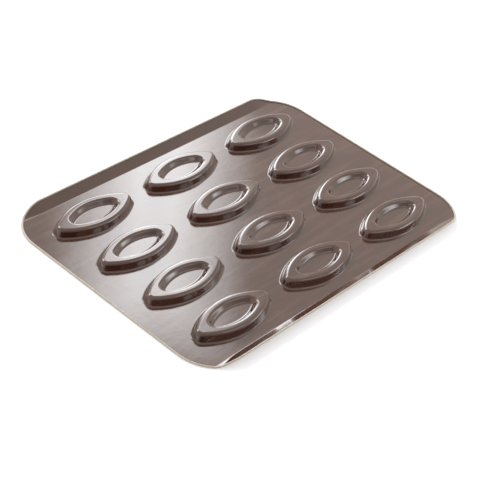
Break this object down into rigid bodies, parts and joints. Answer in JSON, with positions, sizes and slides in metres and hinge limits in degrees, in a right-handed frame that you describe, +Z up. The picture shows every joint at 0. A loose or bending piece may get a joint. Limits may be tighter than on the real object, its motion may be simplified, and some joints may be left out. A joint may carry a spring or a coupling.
{
  "type": "barquette baking tray",
  "caption": "Sheet-metal baking tray with boat-shaped barquette forms, a rolled edge and two raised lips, lying forms upward.",
  "frame": {"origin": "middle of the tray, on the plane that the tray rests on", "axes": "+X along the long axes of the boat-shaped forms, +Y across them towards one raised lip, +Z up, the way the forms stand"},
  "size_m": [0.38, 0.2696, 0.0086],
  "materials": {
    "coated_sheet": "gloss",
    "coated_form": "gloss"
  },
  "bodies": {
    "root": {"tray_sheet": "coated_sheet", "barquette_form_1": "coated_form", "barquette_form_2": "coated_form", "barquette_form_3": "coated_form", "barquette_form_4": "coated_form", "barquette_form_5": "coated_form", "barquette_form_6": "coated_form", "barquette_form_7": "coated_form", "barquette_form_8": "coated_form", "barquette_form_9": "coated_form", "barquette_form_10": "coated_form", "barquette_form_11": "coated_form", "barquette_form_12": "coated_form"}
  },
  "joints": []
}
